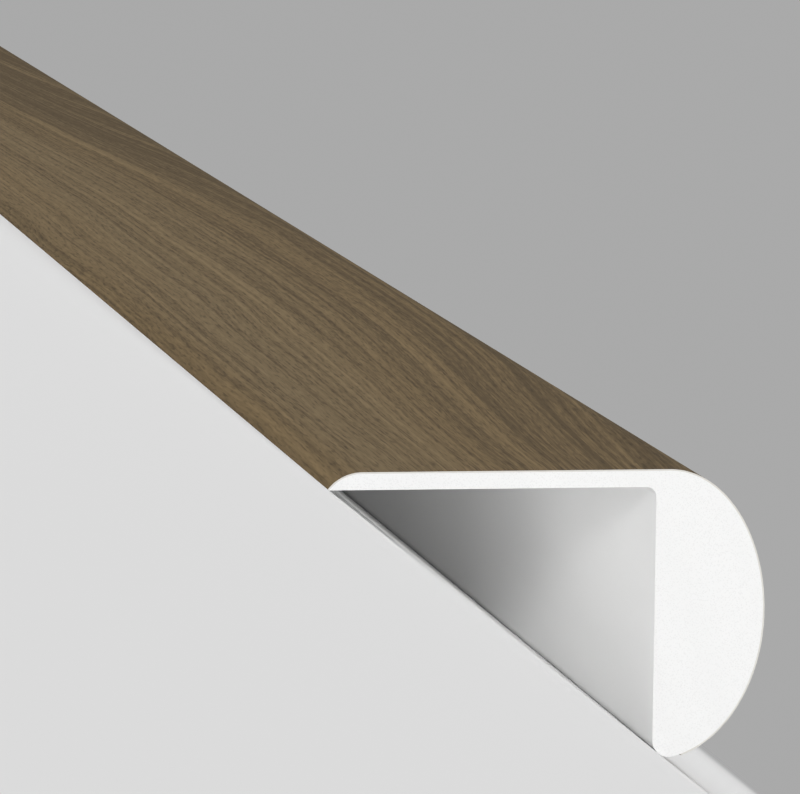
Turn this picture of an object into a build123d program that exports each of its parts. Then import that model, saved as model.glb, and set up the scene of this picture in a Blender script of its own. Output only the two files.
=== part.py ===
from build123d import *

import os
from math import acos, asin, atan2, degrees, hypot, sqrt

# Stair nose moulding: a solid white extruded core, wrapped over its show side in a wood-grain film.
#
# The section is drawn as the moulding is fitted, with the flange level on the tread and the nose
# hanging in front of it. Section coordinates start at the inside corner, where the underside of the
# flange meets the back of the nose: u runs towards the front of the nose, and v runs upwards.
# The finished length is then laid down as it rests on a floor, on the flange's tip and the heel.

# Driving dimensions, in millimetres
length = 2400.0          # one stock length
flange_reach = 41.1      # back of the nose to the flange's tip, over the film
flange_thickness = 2.2   # over the film
tip_radius = 5.5         # round that feathers the flange out at its tip, over the film
nose_thickness = 13.9    # back of the nose to its front, over the film
nose_drop = 34.2         # underside of the flange to the foot of the nose, over the film
crown_depth = 17.8       # top face down to the widest level of the nose
crown_run = 12.2         # end of the flat top to the front of the nose
root_radius = 1.2        # inside corner between flange and nose
heel_radius = 2.1        # foot of the nose, at its back
film_thickness = 0.2     # decor film with its wear layer
film_setback = 1.5       # bare core between the heel's round and the edge of the film

# The widest level of the nose, and the part of the nose below it
widest_level = flange_thickness - crown_depth
belly_depth = nose_drop + widest_level
crown_start = nose_thickness - crown_run

# The tip's round is tangent to the top face and runs down to the underside
tip_center_v = flange_thickness - tip_radius
tip_center_u = sqrt(tip_radius**2 - tip_center_v**2) - flange_reach
core_tip = (tip_center_u - sqrt((tip_radius - film_thickness) ** 2 - tip_center_v**2), 0)
tip_angle = degrees(atan2(core_tip[1] - tip_center_v, core_tip[0] - tip_center_u))

# The heel's round is tangent to the back of the nose and to the core's belly
core_belly_radii = (nose_thickness - film_thickness, belly_depth - film_thickness)
heel = ConstrainedArcs(
    Line((0, widest_level), (0, -nose_drop)),
    EllipticalCenterArc((0, widest_level), *core_belly_radii, start_angle=0, arc_size=-90),
    radius=heel_radius,
    selector=lambda arcs: arcs.filter_by(lambda arc: arc.arc_center.X > 0).sort_by(Axis.Y)[0],
).edge()
heel_on_back, heel_on_belly = heel.vertices().sort_by(Axis.X)
core_belly_end = degrees(acos(heel_on_belly.X / core_belly_radii[0]))
film_belly_end = degrees(acos((heel_radius + film_setback) / nose_thickness))


def show_side(inset, belly_end):
    """Draws the show side from the tip over the top and round the nose, and returns its two ends."""
    tip = CenterArc(
        (tip_center_u, tip_center_v), tip_radius - inset, start_angle=90, arc_size=tip_angle - 90
    )
    top_v = flange_thickness - inset
    Line((tip_center_u, top_v), (crown_start, top_v))
    EllipticalCenterArc(
        (crown_start, widest_level), crown_run - inset, crown_depth - inset, start_angle=0, arc_size=90
    )
    belly = EllipticalCenterArc(
        (0, widest_level), nose_thickness - inset, belly_depth - inset, start_angle=0, arc_size=-belly_end
    )
    return tip @ 1, belly @ 1


# Half the length is extruded to each side of this plane, with the nose towards -Y
section = Plane(origin=(0, 0, 0), x_dir=(0, -1, 0), z_dir=(-1, 0, 0))

with BuildPart() as core:
    with BuildSketch(section):
        with BuildLine():
            core_tip_end, core_belly_foot = show_side(film_thickness, core_belly_end)
            RadiusArc(core_belly_foot, heel_on_back.center(), heel_radius)
            FilletPolyline(heel_on_back.center(), (0, 0), core_tip_end, radius=root_radius)
        make_face()
    extrude(amount=length / 2, both=True)

with BuildPart() as film:
    with BuildSketch(section):
        with BuildLine():
            outer_ends = show_side(0, film_belly_end)
            inner_ends = show_side(film_thickness, film_belly_end)
            for outer_end, inner_end in zip(outer_ends, inner_ends):
                Line(outer_end, inner_end)
        make_face()
    extrude(amount=length / 2, both=True)

# On a floor the moulding tips back until the floor touches the tip's edge and the heel's round
tip_to_heel = heel.arc_center - Vector(*core_tip)
rest_angle = degrees(
    atan2(-tip_to_heel.Y, tip_to_heel.X) + asin(heel_radius / hypot(tip_to_heel.X, tip_to_heel.Y))
)
turned = Rotation(-rest_angle, 0, 0)
box = Compound([turned * core.part, turned * film.part]).bounding_box()
at_rest = Pos(0, -box.center().Y, -box.min.Z) * turned

os.makedirs("parts", exist_ok=True)
for piece, name in ((core, "core_profile"), (film, "decor_film")):
    laid_down = at_rest * piece.part
    laid_down.label = name
    export_step(laid_down, f"parts/{name}.step")
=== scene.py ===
from math import acos, asin, atan2, cos, degrees, hypot, radians, sin, sqrt, tau

import bpy
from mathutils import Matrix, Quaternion, Vector


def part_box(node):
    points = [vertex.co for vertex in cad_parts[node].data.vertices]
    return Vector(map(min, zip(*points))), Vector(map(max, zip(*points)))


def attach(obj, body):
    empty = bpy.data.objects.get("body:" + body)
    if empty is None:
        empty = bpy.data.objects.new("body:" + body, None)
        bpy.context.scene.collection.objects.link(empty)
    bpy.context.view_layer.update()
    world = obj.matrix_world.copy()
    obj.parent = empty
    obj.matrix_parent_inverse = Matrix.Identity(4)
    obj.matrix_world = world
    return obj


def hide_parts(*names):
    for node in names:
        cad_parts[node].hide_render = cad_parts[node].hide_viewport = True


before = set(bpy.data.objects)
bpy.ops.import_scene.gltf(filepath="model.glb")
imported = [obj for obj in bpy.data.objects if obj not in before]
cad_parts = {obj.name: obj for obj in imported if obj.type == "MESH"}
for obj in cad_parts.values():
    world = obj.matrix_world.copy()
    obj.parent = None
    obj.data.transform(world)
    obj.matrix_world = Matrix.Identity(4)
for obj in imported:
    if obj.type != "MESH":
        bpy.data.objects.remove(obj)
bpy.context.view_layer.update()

MM = 0.001

# Section of the moulding, in metres, drawn as it is fitted: u runs from the inside corner towards the
# front of the nose, and v runs upwards. Sizes are over the film.
FLANGE_REACH = 41.1 * MM
FLANGE_THICKNESS = 2.2 * MM
TIP_RADIUS = 5.5 * MM
NOSE_THICKNESS = 13.9 * MM
NOSE_DROP = 34.2 * MM
CROWN_DEPTH = 17.8 * MM
CROWN_RUN = 12.2 * MM
ROOT_RADIUS = 1.2 * MM
HEEL_RADIUS = 2.1 * MM
FILM_THICKNESS = 0.2 * MM
FILM_SETBACK = 1.5 * MM

WIDEST_LEVEL = FLANGE_THICKNESS - CROWN_DEPTH
BELLY_DEPTH = NOSE_DROP + WIDEST_LEVEL
CROWN_START = NOSE_THICKNESS - CROWN_RUN
TIP_CENTER_V = FLANGE_THICKNESS - TIP_RADIUS
TIP_CENTER_U = sqrt(TIP_RADIUS**2 - TIP_CENTER_V**2) - FLANGE_REACH

# The core's place in the frame. The near end is the one towards the camera.
CORE_LOW, CORE_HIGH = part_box("core_profile")
NEAR_END = CORE_LOW.x
LENGTH = CORE_HIGH.x - NEAR_END

# How finely the meshes follow the section and the length, and the angle from which an edge is sharp
ARC_STEPS = 40
LENGTH_STEPS = 48
HEEL_HALVINGS = 60
SHARP_ANGLE = radians(30)

# Material slots of a piece
SIDES, ENDS = 0, 1

# Colour sockets of a Mix node, by number, because its sockets for other types have the same names
MIX_FIRST, MIX_SECOND, MIX_RESULT = 6, 7, 2

# Maps for the film's print and for baking. The gap is the share of a bake map's side that is left free
# between its strips. The film's face lies in wide rows, and its back, edges and ends in thin strips.
PRINT_MAP = "print"
BAKE_MAP = "OFBake"
BAKE_GAP = 0.006
FACE_ROWS, FACE_SHARE = 4, 60
THIN_STRIPS, THIN_SHARE = 5, 2

# Colours of the printed oak, and its tone between dark and light before the layers change it
LIGHT_OAK = (0.222, 0.157, 0.080)
GREY_OAK = (0.214, 0.158, 0.087)
DARK_OAK = (0.098, 0.070, 0.038)
PORE_OAK = (0.050, 0.037, 0.023)
MEAN_TONE = 0.56

# The oak's rings run in long arches, which flatten towards the flange's tip and waver a little.
# The fine grain follows them in part.
ARCH_TOP, ARCH_LENGTH, ARCH_DEPTH = 0.27, 1.1, 36 * MM
FLAT_UNTIL, ARCHED_FROM = 6 * MM, 40 * MM
FLAT_SHARE = 0.1
WAVER = 6 * MM
GRAIN_SHARE = 0.8

# The rings are faint by the flange's tip and dark towards the nose. Each is darkest at its peak, a share
# of its width. The darkness swells and sinks along the length, and fades round the nose.
RING_WIDTH = 8.5 * MM
RING_PEAK = 0.3
FAINT_RING, STRONG_RING = 0.05, 0.32
DARK_FROM, DARK_FULL = 40 * MM, 48 * MM
DARK_SHADE = 0.18
SWELL_FROM, SWELL_FULL = 0.0, 0.7
SINK_FROM, SINK_FULL = 0.9, 1.4
LEAST_SWELL, MOST_SWELL = 0.8, 1.5
FADE_FROM, FADE_FULL = 50 * MM, 62 * MM
NOSE_SHARE = 0.3

# Layers of the print: grains to a metre along and across, and a seed of its own for each.
# The shares say how strongly a layer changes the tone.
WAVER_GRAINS = (6.0, 22.0, 3.1)
BAND_GRAINS, BAND_SHARE = (1.5, 60.0, 7.7), 0.35
LINE_GRAINS, LINE_SHARE = (3.0, 1300.0, 1.3), 1.8
FIBRE_GRAINS, FIBRE_SHARE = (90.0, 1900.0, 5.9), 1.3
PORE_GRAINS = (220.0, 3000.0, 9.2)

# Most values of a noise layer lie in the wide range, and its common ones in the narrow range
WIDE_LOW, WIDE_HIGH = 0.3, 0.7
NARROW_LOW, NARROW_HIGH = 0.35, 0.65

# Pores open in the upper part of their noise, and are denser on the dark lines
PORE_FROM, PORE_FULL = 0.52, 0.72
FEW_PORES, MANY_PORES = 0.3, 0.7
PORE_DEPTH = 0.04 * MM

# The film's pale body, which shows on its edges
BODY_DARK, BODY_LIGHT = (0.62, 0.60, 0.56), (0.74, 0.72, 0.68)
BODY_GRAINS = (900, 900, 900)

# The core's skin, with the lines of the die along it
SKIN_DARK, SKIN_LIGHT = (0.90, 0.90, 0.895), (0.94, 0.94, 0.935)
DIE_GRAINS = (1.5, 900, 900)
DIE_DEPTH = 0.04 * MM
MOTTLE_GRAINS = (9, 60, 60)

# The core's sawn ends: open cells, and strokes of a blade that turned about its own center
# The cells' hollows are painted darker, as shade in them
CELL_HOLLOW_SHADE, CELL_LIGHT = (0.76, 0.76, 0.755), (0.87, 0.87, 0.865)
CELL_GRAINS = (4200, 4200, 4200)
CELL_EDGE = 0.45
STROKE_WHITE = (0.83, 0.83, 0.825)
STROKE_SHARE = 0.35
STROKE_HEIGHT = 0.6
STROKES_PER_METRE = 1600.0
BLADE_CENTER = (0, 0.06, -0.11)
SAWN_DEPTH = 0.05 * MM

# The studio's floor and its even light, as grey levels
FLOOR_HALF = 60.0
FLOOR_TONE = 0.80
FLOOR_MOTTLE = 0.004
LIGHT_LEVEL = 0.50

# Softboxes, in metres, watts and degrees
OVERHEAD = {"at": (0.3, 1.9, 3.0), "aim": (0.3, 0, 0), "width": 6.0, "height": 3.0, "power": 69}
REAR = {"at": (0, -4.0, 1.9), "aim": (0, 0, 0), "width": 6.0, "height": 2.0, "power": 62}
FRONT = {
    "at": (NEAR_END - 4.9, 1.8, 0.45),
    "aim": (NEAR_END, 0, 12 * MM),
    "width": 1.1,
    "height": 0.18,
    "power": 1.85,
    "spread": 20,
}

# Small lamps in the channel under the flange, all from the near end, and each reaching further in
FILL_COUNT = 6
FILL_REACH, FILL_STEP = 0.075, 0.05
FILL_WIDTH = 8 * MM
FILL_DROP = 5 * MM
FILL_POWER = 0.0028

# The camera's place and aim: past the near end, across and up. The lens is in millimetres.
CAMERA_PLACE = (-0.8004, 0.19558, 0.00416)
CAMERA_AIM = (0, 0.02904, 0.01434)
CAMERA_ROLL = radians(38.65)
CAMERA_LENS = 301.2
CAMERA_CLIP = 1 * MM


def arc(center, radii, start, end):
    """Points of an elliptical arc between two angles, in degrees."""
    angles = [radians(start + (end - start) * i / ARC_STEPS) for i in range(ARC_STEPS + 1)]
    return [(center[0] + radii[0] * cos(a), center[1] + radii[1] * sin(a)) for a in angles]


def heel_round():
    """Center of the heel's round, and the belly's angle where the round meets it."""
    run, drop = NOSE_THICKNESS - FILM_THICKNESS, BELLY_DEPTH - FILM_THICKNESS
    low, high = 0.0, 90.0
    for _ in range(HEEL_HALVINGS):
        angle = (low + high) / 2
        across, down = cos(radians(angle)), sin(radians(angle))
        out = Vector((across / run, -down / drop)).normalized()
        center = Vector((run * across, WIDEST_LEVEL - drop * down)) - HEEL_RADIUS * out
        if center.x > HEEL_RADIUS:
            low = angle
        else:
            high = angle
    return center, angle


def tip_round(inset):
    """The tip's round, set in from the film's face, from beside the core's tip up to the flat top."""
    reach = sqrt((TIP_RADIUS - FILM_THICKNESS) ** 2 - TIP_CENTER_V**2)
    angle = degrees(atan2(-TIP_CENTER_V, -reach))
    return arc((TIP_CENTER_U, TIP_CENTER_V), [TIP_RADIUS - inset] * 2, angle, 90)


def show_side(inset, belly_end):
    """The show side from the tip over the top and round the nose, set in from the film's face."""
    crown_center = (CROWN_START, WIDEST_LEVEL)
    crown = arc(crown_center, (CROWN_RUN - inset, CROWN_DEPTH - inset), 90, 0)
    belly_center = (0, WIDEST_LEVEL)
    belly = arc(belly_center, (NOSE_THICKNESS - inset, BELLY_DEPTH - inset), 0, -belly_end)
    return tip_round(inset) + crown + belly[1:]


heel_center, core_belly_end = heel_round()
core_tip = Vector(tip_round(FILM_THICKNESS)[0])
tip_to_heel = heel_center - core_tip
REST_ANGLE = atan2(-tip_to_heel.y, tip_to_heel.x) + asin(HEEL_RADIUS / tip_to_heel.length)


def core_outline():
    """The core's section, from the tip round the nose and back along the bare faces."""
    show = show_side(FILM_THICKNESS, core_belly_end)
    toe = degrees(atan2(show[-1][1] - heel_center.y, show[-1][0] - heel_center.x))
    heel = arc(heel_center, [HEEL_RADIUS] * 2, toe, -180)
    root = arc((-ROOT_RADIUS, -ROOT_RADIUS), [ROOT_RADIUS] * 2, 0, 90)
    return show + heel[1:] + root


CORE = core_outline()
film_belly_end = degrees(acos((HEEL_RADIUS + FILM_SETBACK) / NOSE_THICKNESS))
FILM_FACE = show_side(0, film_belly_end)
FILM = FILM_FACE + show_side(FILM_THICKNESS, film_belly_end)[::-1]


def turned(point):
    """A point of the fitted section, turned as the moulding rests."""
    u, v = point
    across = v * sin(REST_ANGLE) - u * cos(REST_ANGLE)
    return Vector((across, u * sin(REST_ANGLE) + v * cos(REST_ANGLE)))


# The section stands on the floor and across the frame as the core does
turned_core = [turned(point) for point in CORE]
TURNED_LOW = Vector((min(p.x for p in turned_core), min(p.y for p in turned_core)))


def laid(point):
    """A point of the fitted section, laid down in the frame as (y, z)."""
    return turned(point) - TURNED_LOW + CORE_LOW.yz


def add_object(name, data):
    """An object in the scene."""
    made = bpy.data.objects.new(name, data)
    bpy.context.scene.collection.objects.link(made)
    return made


def add_piece(name, outline, end_faces, side_material, end_material):
    """Extrudes an outline over the length, and closes it at both ends."""
    count = len(outline)
    places = [laid(point) for point in outline]
    stations = [NEAR_END + LENGTH * i / LENGTH_STEPS for i in range(LENGTH_STEPS + 1)]
    verts = [(x, *place) for x in stations for place in places]
    faces = []
    for ring in range(LENGTH_STEPS):
        near, far = ring * count, (ring + 1) * count
        for i in range(count):
            j = (i + 1) % count
            faces.append((near + i, far + i, far + j, near + j))
    side_count = len(faces)
    last = LENGTH_STEPS * count
    faces += end_faces
    faces += [tuple(last + i for i in reversed(face)) for face in end_faces]
    mesh = bpy.data.meshes.new(name)
    mesh.from_pydata(verts, [], faces)
    mesh.materials.append(side_material)
    mesh.materials.append(end_material)
    for polygon in mesh.polygons:
        polygon.material_index = SIDES if polygon.index < side_count else ENDS
    mesh.shade_smooth()
    mesh.set_sharp_from_angle(angle=SHARP_ANGLE)
    mesh.validate()
    return add_object(name, mesh)


def feed(tree, socket, value):
    """Links a socket to another's value, or sets it."""
    if isinstance(value, bpy.types.NodeSocket):
        tree.links.new(value, socket)
    else:
        socket.default_value = value


def add(tree, kind, inputs=None, **settings):
    """Adds a shader node, with its settings, and with its inputs linked or set."""
    made = tree.nodes.new(kind)
    for name, value in settings.items():
        setattr(made, name, value)
    for name, value in (inputs or {}).items():
        feed(tree, made.inputs[name], value)
    return made


def maths(tree, operation, *values):
    """A Math node's result."""
    return add(tree, "ShaderNodeMath", dict(enumerate(values)), operation=operation).outputs[0]


def noise(tree, vector, detail=2.0, roughness=0.5):
    """A noise value, at a place given in its own grains."""
    inputs = {"Vector": vector, "Scale": 1.0, "Detail": detail, "Roughness": roughness}
    return add(tree, "ShaderNodeTexNoise", inputs).outputs["Fac"]


def ranged(tree, value, low, high, to_low=0.0, to_high=1.0, way="LINEAR"):
    """A value mapped from one range to another, and held there."""
    inputs = {"Value": value, "From Min": low, "From Max": high, "To Min": to_low, "To Max": to_high}
    return add(tree, "ShaderNodeMapRange", inputs, interpolation_type=way).outputs["Result"]


def rgba(colour):
    """A colour as a colour socket takes it."""
    return colour if isinstance(colour, bpy.types.NodeSocket) else (*colour, 1)


def mixed(tree, factor, first, second):
    """Two colours mixed."""
    inputs = {"Factor": factor, MIX_FIRST: rgba(first), MIX_SECOND: rgba(second)}
    return add(tree, "ShaderNodeMix", inputs, data_type="RGBA").outputs[MIX_RESULT]


def new_material(name, roughness, specular):
    """A material with its node tree and its shader."""
    material = bpy.data.materials.new(name)
    material.use_nodes = True
    shader = material.node_tree.nodes["Principled BSDF"]
    shader.inputs["Roughness"].default_value = roughness
    shader.inputs["Specular IOR Level"].default_value = specular
    return material, material.node_tree, shader


def emboss(tree, shader, height, depth, strength, inwards=False):
    """Raises a surface by a height from 0 to 1, or sinks it."""
    inputs = {"Height": height, "Distance": depth, "Strength": strength}
    bump = add(tree, "ShaderNodeBump", inputs, invert=inwards)
    tree.links.new(bump.outputs[0], shader.inputs["Normal"])


def place_on(tree):
    """A place on the piece, in metres."""
    return add(tree, "ShaderNodeTexCoord").outputs["Object"]


def scaled(tree, place, grains):
    """A place in grains, which are numbered to a metre along each axis."""
    return add(tree, "ShaderNodeMapping", {"Vector": place, "Scale": grains}).outputs[0]


def drawn_out(tree, along, across, grains):
    """A place in grains of the print, which are drawn out along the length."""
    per_metre_along, per_metre_across, seed = grains
    inputs = {
        "X": maths(tree, "MULTIPLY", along, per_metre_along),
        "Y": maths(tree, "MULTIPLY", across, per_metre_across),
        "Z": seed,
    }
    return add(tree, "ShaderNodeCombineXYZ", inputs).outputs[0]


def figure(tree, along, across):
    """How far the rings have wandered across the strip."""
    turn = maths(tree, "MULTIPLY", maths(tree, "SUBTRACT", along, ARCH_TOP), tau / ARCH_LENGTH)
    arch = maths(tree, "MULTIPLY_ADD", maths(tree, "COSINE", turn), ARCH_DEPTH / 2, -ARCH_DEPTH / 2)
    arched = ranged(tree, across, FLAT_UNTIL, ARCHED_FROM, FLAT_SHARE, 1.0)
    waver = noise(tree, drawn_out(tree, along, across, WAVER_GRAINS))
    waver = maths(tree, "MULTIPLY_ADD", waver, WAVER, -WAVER / 2)
    return maths(tree, "MULTIPLY_ADD", arch, arched, waver)


def ring_shade(tree, along, across, wander):
    """How much the rings darken the print. Each ring darkens at once, and then pales slowly."""
    growth = maths(tree, "SUBTRACT", across, wander)
    rings = maths(tree, "MULTIPLY_ADD", growth, 1 / RING_WIDTH, -DARK_FROM / RING_WIDTH)
    ring = maths(tree, "FRACT", rings)
    darkens = ranged(tree, ring, 0.0, RING_PEAK)
    pales = ranged(tree, ring, RING_PEAK, 1.0, 1.0, 0.0)
    late = maths(tree, "MULTIPLY", darkens, pales)
    strength = ranged(tree, growth, DARK_FROM - 2 * RING_WIDTH, DARK_FULL, FAINT_RING, STRONG_RING)
    shade = ranged(tree, growth, DARK_FROM, DARK_FULL, 0.0, DARK_SHADE, "SMOOTHSTEP")
    shade = maths(tree, "MULTIPLY_ADD", late, strength, shade)

    swells = ranged(tree, along, SWELL_FROM, SWELL_FULL, LEAST_SWELL, MOST_SWELL)
    sinks = ranged(tree, along, SINK_FROM, SINK_FULL, MOST_SWELL, LEAST_SWELL)
    swell = maths(tree, "MINIMUM", swells, sinks)
    fade = ranged(tree, across, FADE_FROM, FADE_FULL, 1.0, NOSE_SHARE)
    return maths(tree, "MULTIPLY", shade, maths(tree, "MULTIPLY", swell, fade))


def oak_print():
    """Grey-brown oak, printed and lightly embossed, with rings that wander across the strip."""
    material, tree, shader = new_material("oak_print", roughness=0.8, specular=0.05)
    place = add(tree, "ShaderNodeUVMap", uv_map=PRINT_MAP).outputs[0]
    split = add(tree, "ShaderNodeSeparateXYZ", {"Vector": place})
    along, across = split.outputs["X"], split.outputs["Y"]
    wander = figure(tree, along, across)
    grain = maths(tree, "MULTIPLY_ADD", wander, -GRAIN_SHARE, across)

    bands = noise(tree, drawn_out(tree, along, grain, BAND_GRAINS), detail=1.0)
    lines = noise(tree, drawn_out(tree, along, grain, LINE_GRAINS), roughness=0.6)
    fibres = noise(tree, drawn_out(tree, along, grain, FIBRE_GRAINS), roughness=0.7)
    pores = noise(tree, drawn_out(tree, along, grain, PORE_GRAINS), detail=1.0)

    tone = MEAN_TONE
    for layer, share in ((bands, BAND_SHARE), (lines, LINE_SHARE), (fibres, FIBRE_SHARE)):
        tone = maths(tree, "ADD", tone, maths(tree, "MULTIPLY_ADD", layer, share, -share / 2))
    tone = maths(tree, "SUBTRACT", tone, ring_shade(tree, along, across, wander))
    crowded = ranged(tree, lines, NARROW_HIGH, NARROW_LOW, FEW_PORES, MANY_PORES)
    pore = maths(tree, "MULTIPLY", ranged(tree, pores, PORE_FROM, PORE_FULL), crowded)
    light = mixed(tree, ranged(tree, bands, NARROW_LOW, NARROW_HIGH), LIGHT_OAK, GREY_OAK)
    colour = mixed(tree, pore, mixed(tree, tone, DARK_OAK, light), PORE_OAK)
    tree.links.new(colour, shader.inputs["Base Color"])
    emboss(tree, shader, pore, PORE_DEPTH, strength=0.2, inwards=True)
    return material


def film_edge():
    """The cut and slit edges of the film: its pale body under the print."""
    material, tree, shader = new_material("film_edge", roughness=0.6, specular=0.3)
    grain = noise(tree, scaled(tree, place_on(tree), BODY_GRAINS))
    tree.links.new(mixed(tree, grain, BODY_DARK, BODY_LIGHT), shader.inputs["Base Color"])
    return material


def extruded_white():
    """White cellular vinyl with the skin of the die, and its faint lines along the length."""
    material, tree, shader = new_material("extruded_white", roughness=0.5, specular=0.3)
    place = place_on(tree)
    mottle = noise(tree, scaled(tree, place, MOTTLE_GRAINS), detail=3.0)
    colour = mixed(tree, ranged(tree, mottle, WIDE_LOW, WIDE_HIGH), SKIN_DARK, SKIN_LIGHT)
    tree.links.new(colour, shader.inputs["Base Color"])
    die = noise(tree, scaled(tree, place, DIE_GRAINS))
    emboss(tree, shader, die, DIE_DEPTH, strength=0.25)
    return material


def sawn_white():
    """The sawn ends: open cells of the vinyl with painted shade in their hollows, and the shallow arcs
    of the blade.
    """
    material, tree, shader = new_material("sawn_white", roughness=0.75, specular=0.2)
    place = place_on(tree)
    from_blade = {0: place, 1: BLADE_CENTER}
    radius = add(tree, "ShaderNodeVectorMath", from_blade, operation="DISTANCE").outputs["Value"]
    sweep = maths(tree, "MULTIPLY", radius, STROKES_PER_METRE)
    strokes = noise(tree, add(tree, "ShaderNodeCombineXYZ", {"X": sweep}).outputs[0])
    grain = {"Vector": scaled(tree, place, CELL_GRAINS), "Scale": 1.0}
    cells = add(tree, "ShaderNodeTexVoronoi", grain).outputs["Distance"]
    # Painted shade: each cell is darker towards its middle, where it is hollow
    colour = mixed(tree, ranged(tree, cells, 0.0, CELL_EDGE), CELL_HOLLOW_SHADE, CELL_LIGHT)
    stroke = ranged(tree, strokes, NARROW_LOW, NARROW_HIGH, 0.0, STROKE_SHARE)
    tree.links.new(mixed(tree, stroke, colour, STROKE_WHITE), shader.inputs["Base Color"])
    height = maths(tree, "MULTIPLY_ADD", strokes, STROKE_HEIGHT, cells)
    emboss(tree, shader, height, SAWN_DEPTH, strength=0.25)
    return material


def distances(outline):
    """How far each point of an outline lies along it."""
    gone = [0.0]
    for before, after in zip(outline, outline[1:]):
        gone.append(gone[-1] + hypot(after[0] - before[0], after[1] - before[1]))
    return gone


def map_print(film):
    """Lays the print over the film: along the length and round the section, both in metres."""
    across = distances(FILM_FACE)
    across += across[::-1]
    layer = film.data.uv_layers.new(name=PRINT_MAP)
    for loop in film.data.loops:
        along = film.data.vertices[loop.vertex_index].co.x - NEAR_END
        layer.uv[loop.index].vector = (along, across[loop.vertex_index % len(FILM)])


def strips(shares):
    """Low and high ends of strips that share a bake map's side."""
    free = 1 - BAKE_GAP * (len(shares) + 1)
    ends, low = [], BAKE_GAP
    for share in shares:
        high = low + free * share / sum(shares)
        ends.append((low, high))
        low = high + BAKE_GAP
    return ends


def between(ends, share):
    """A place between two ends."""
    return ends[0] + (ends[1] - ends[0]) * share


def map_bake(piece, outline, place_side, place_end):
    """Lays a piece out for baking. The first corner of a side's face tells which face it is."""
    layer = piece.data.uv_layers.new(name=BAKE_MAP)
    for polygon in piece.data.polygons:
        numbers = [piece.data.loops[loop].vertex_index for loop in polygon.loop_indices]
        corners = [divmod(number, len(outline)) for number in numbers]
        for loop, corner in zip(polygon.loop_indices, corners):
            if polygon.material_index == ENDS:
                layer.uv[loop].vector = place_end(*corner)
            else:
                layer.uv[loop].vector = place_side(*corners[0], *corner)


def map_film_bake(film):
    """The face of the film fills rows of the map, and its back, edges and ends get thin strips."""
    rings_per_row = LENGTH_STEPS // FACE_ROWS
    count, last = len(FILM_FACE), len(FILM) - 1
    across = distances(FILM_FACE)
    shares = [way / across[-1] for way in across]
    whole = strips([1])[0]
    placed = strips([FACE_SHARE] * FACE_ROWS + [THIN_SHARE] * THIN_STRIPS)
    *faces, back, heel_edge, tip_edge, near_end, far_end = placed

    def place_side(first_ring, first_point, ring, point):
        along = between(whole, ring / LENGTH_STEPS)
        if first_point < count - 1:
            row = first_ring // rings_per_row
            return between(whole, ring / rings_per_row - row), between(faces[row], shares[point])
        if first_point == count - 1:
            return along, heel_edge[point - first_point]
        if first_point == last:
            return along, tip_edge[point != first_point]
        return along, between(back, shares[last - point])

    def place_end(ring, point):
        inner = point >= count
        share = shares[last - point if inner else point]
        return between(whole, share), (far_end if ring else near_end)[inner]

    map_bake(film, FILM, place_side, place_end)


def map_core_bake(core):
    """The sides of the core fill one half of the map, and its two ends share the other."""
    around = distances(CORE + CORE[:1])
    halves = strips([1, 1])
    ends, sides = halves
    whole = strips([1])[0]
    low_u, low_v = (min(point[axis] for point in CORE) for axis in (0, 1))
    wide = max(point[0] for point in CORE) - low_u

    def place_side(first_ring, first_point, ring, point):
        way = around[point if point >= first_point else len(CORE)]
        return between(whole, ring / LENGTH_STEPS), between(sides, way / around[-1])

    def place_end(ring, point):
        half = halves[ring > 0]
        scale = (half[1] - half[0]) / wide
        u, v = CORE[point]
        return half[0] + (u - low_u) * scale, ends[0] + (v - low_v) * scale

    map_bake(core, CORE, place_side, place_end)


def pale_floor():
    """A plain pale floor, which the object's shadow falls on."""
    material, tree, shader = new_material("pale_floor", roughness=1.0, specular=0.0)
    tone = ranged(tree, noise(tree, place_on(tree)), WIDE_LOW, WIDE_HIGH)
    dark, light = ((FLOOR_TONE + shift,) * 3 for shift in (-FLOOR_MOTTLE, FLOOR_MOTTLE))
    tree.links.new(mixed(tree, tone, dark, light), shader.inputs["Base Color"])
    mesh = bpy.data.meshes.new("floor")
    signs = ((-1, -1), (1, -1), (1, 1), (-1, 1))
    corners = [(x * FLOOR_HALF, y * FLOOR_HALF, 0) for x, y in signs]
    mesh.from_pydata(corners, [], [(0, 1, 2, 3)])
    mesh.materials.append(material)
    add_object("floor", mesh)


def pale_world():
    """Even light from all round, and a backdrop in the far floor's tone past the floor's edge."""
    world = bpy.data.worlds.new("studio")
    world.use_nodes = True
    bpy.context.scene.world = world
    tree = world.node_tree
    path = add(tree, "ShaderNodeLightPath").outputs
    seen = maths(tree, "MAXIMUM", path["Is Camera Ray"], path["Is Glossy Ray"])
    seen = maths(tree, "MAXIMUM", seen, path["Is Transmission Ray"])
    colour = mixed(tree, seen, (LIGHT_LEVEL,) * 3, (FLOOR_TONE * LIGHT_LEVEL,) * 3)
    tree.links.new(colour, tree.nodes["Background"].inputs["Color"])


def facing(at, aim):
    """The turn of a lamp or camera that stands at one place and looks at another."""
    return (Vector(aim) - Vector(at)).to_track_quat("-Z", "Y")


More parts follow.
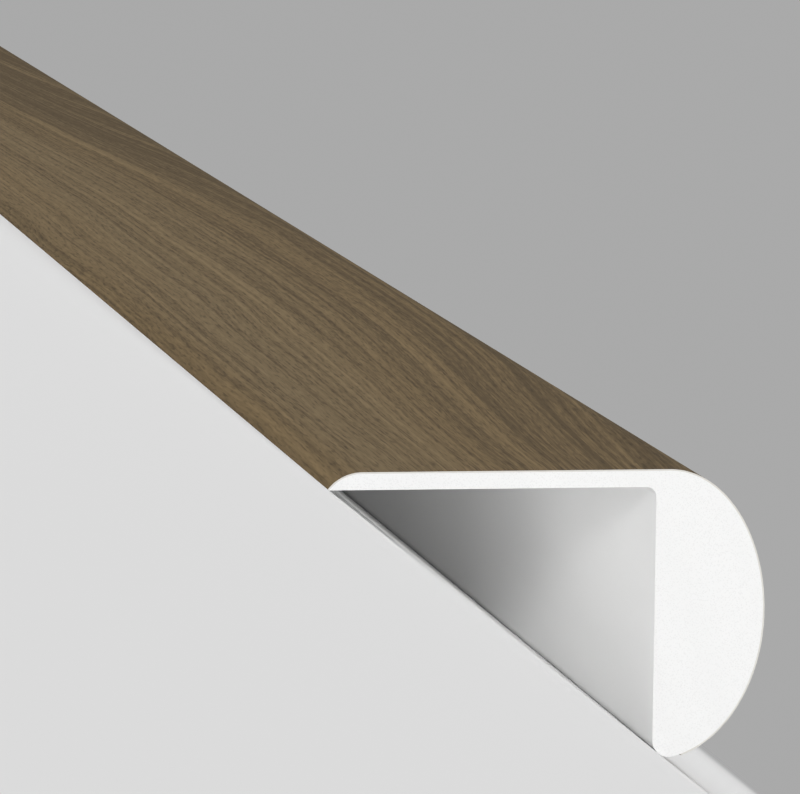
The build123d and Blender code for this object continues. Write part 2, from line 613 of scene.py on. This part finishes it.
def softbox(name, at, aim, width, height, power, spread=180):
    """A soft lamp that the camera doesn't see. A grid can hold its light to a spread in degrees."""
    lamp = bpy.data.lights.new(name, "AREA")
    lamp.shape = "RECTANGLE"
    lamp.size = width
    lamp.size_y = height
    lamp.energy = power
    lamp.spread = radians(spread)
    placed = add_object(name, lamp)
    placed.location = at
    placed.rotation_mode = "QUATERNION"
    placed.rotation_quaternion = facing(at, aim)
    placed.visible_camera = False


def light_channel():
    """Brings up the pale back of the nose, which no lamp outside reaches, fading into the depth."""
    at = laid((-FLANGE_REACH / 2, -FILL_DROP))
    aim = laid((0, -FILL_DROP - FLANGE_REACH / 2))
    for step in range(FILL_COUNT):
        reach = FILL_REACH + step * FILL_STEP
        middle = NEAR_END + reach / 2
        softbox(f"fill_{step}", (middle, *at), (middle, *aim), reach, FILL_WIDTH, FILL_POWER)


def add_camera():
    """The camera looks along the moulding from just over the floor, rolled to bring the flange level."""
    data = bpy.data.cameras.new("camera")
    data.lens = CAMERA_LENS
    data.clip_start = CAMERA_CLIP
    camera = add_object("camera", data)
    near = Vector((NEAR_END, 0, 0))
    camera.location = near + Vector(CAMERA_PLACE)
    camera.rotation_mode = "QUATERNION"
    level = facing(camera.location, near + Vector(CAMERA_AIM))
    camera.rotation_quaternion = level @ Quaternion((0, 0, 1), CAMERA_ROLL)
    bpy.context.scene.camera = camera


film_ends = [(i, i + 1, len(FILM) - 2 - i, len(FILM) - 1 - i) for i in range(len(FILM_FACE) - 1)]
film = add_piece("decor_film_wrap", FILM, film_ends, oak_print(), film_edge())
map_film_bake(film)
map_print(film)
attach(film, "root")
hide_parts("decor_film")

core = add_piece("extruded_core", CORE, [tuple(range(len(CORE)))], extruded_white(), sawn_white())
map_core_bake(core)
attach(core, "root")
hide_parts("core_profile")

pale_floor()
pale_world()
softbox("overhead", **OVERHEAD)
softbox("rear", **REAR)
softbox("front", **FRONT)
light_channel()
add_camera()
bpy.context.scene.view_settings.view_transform = "Standard"
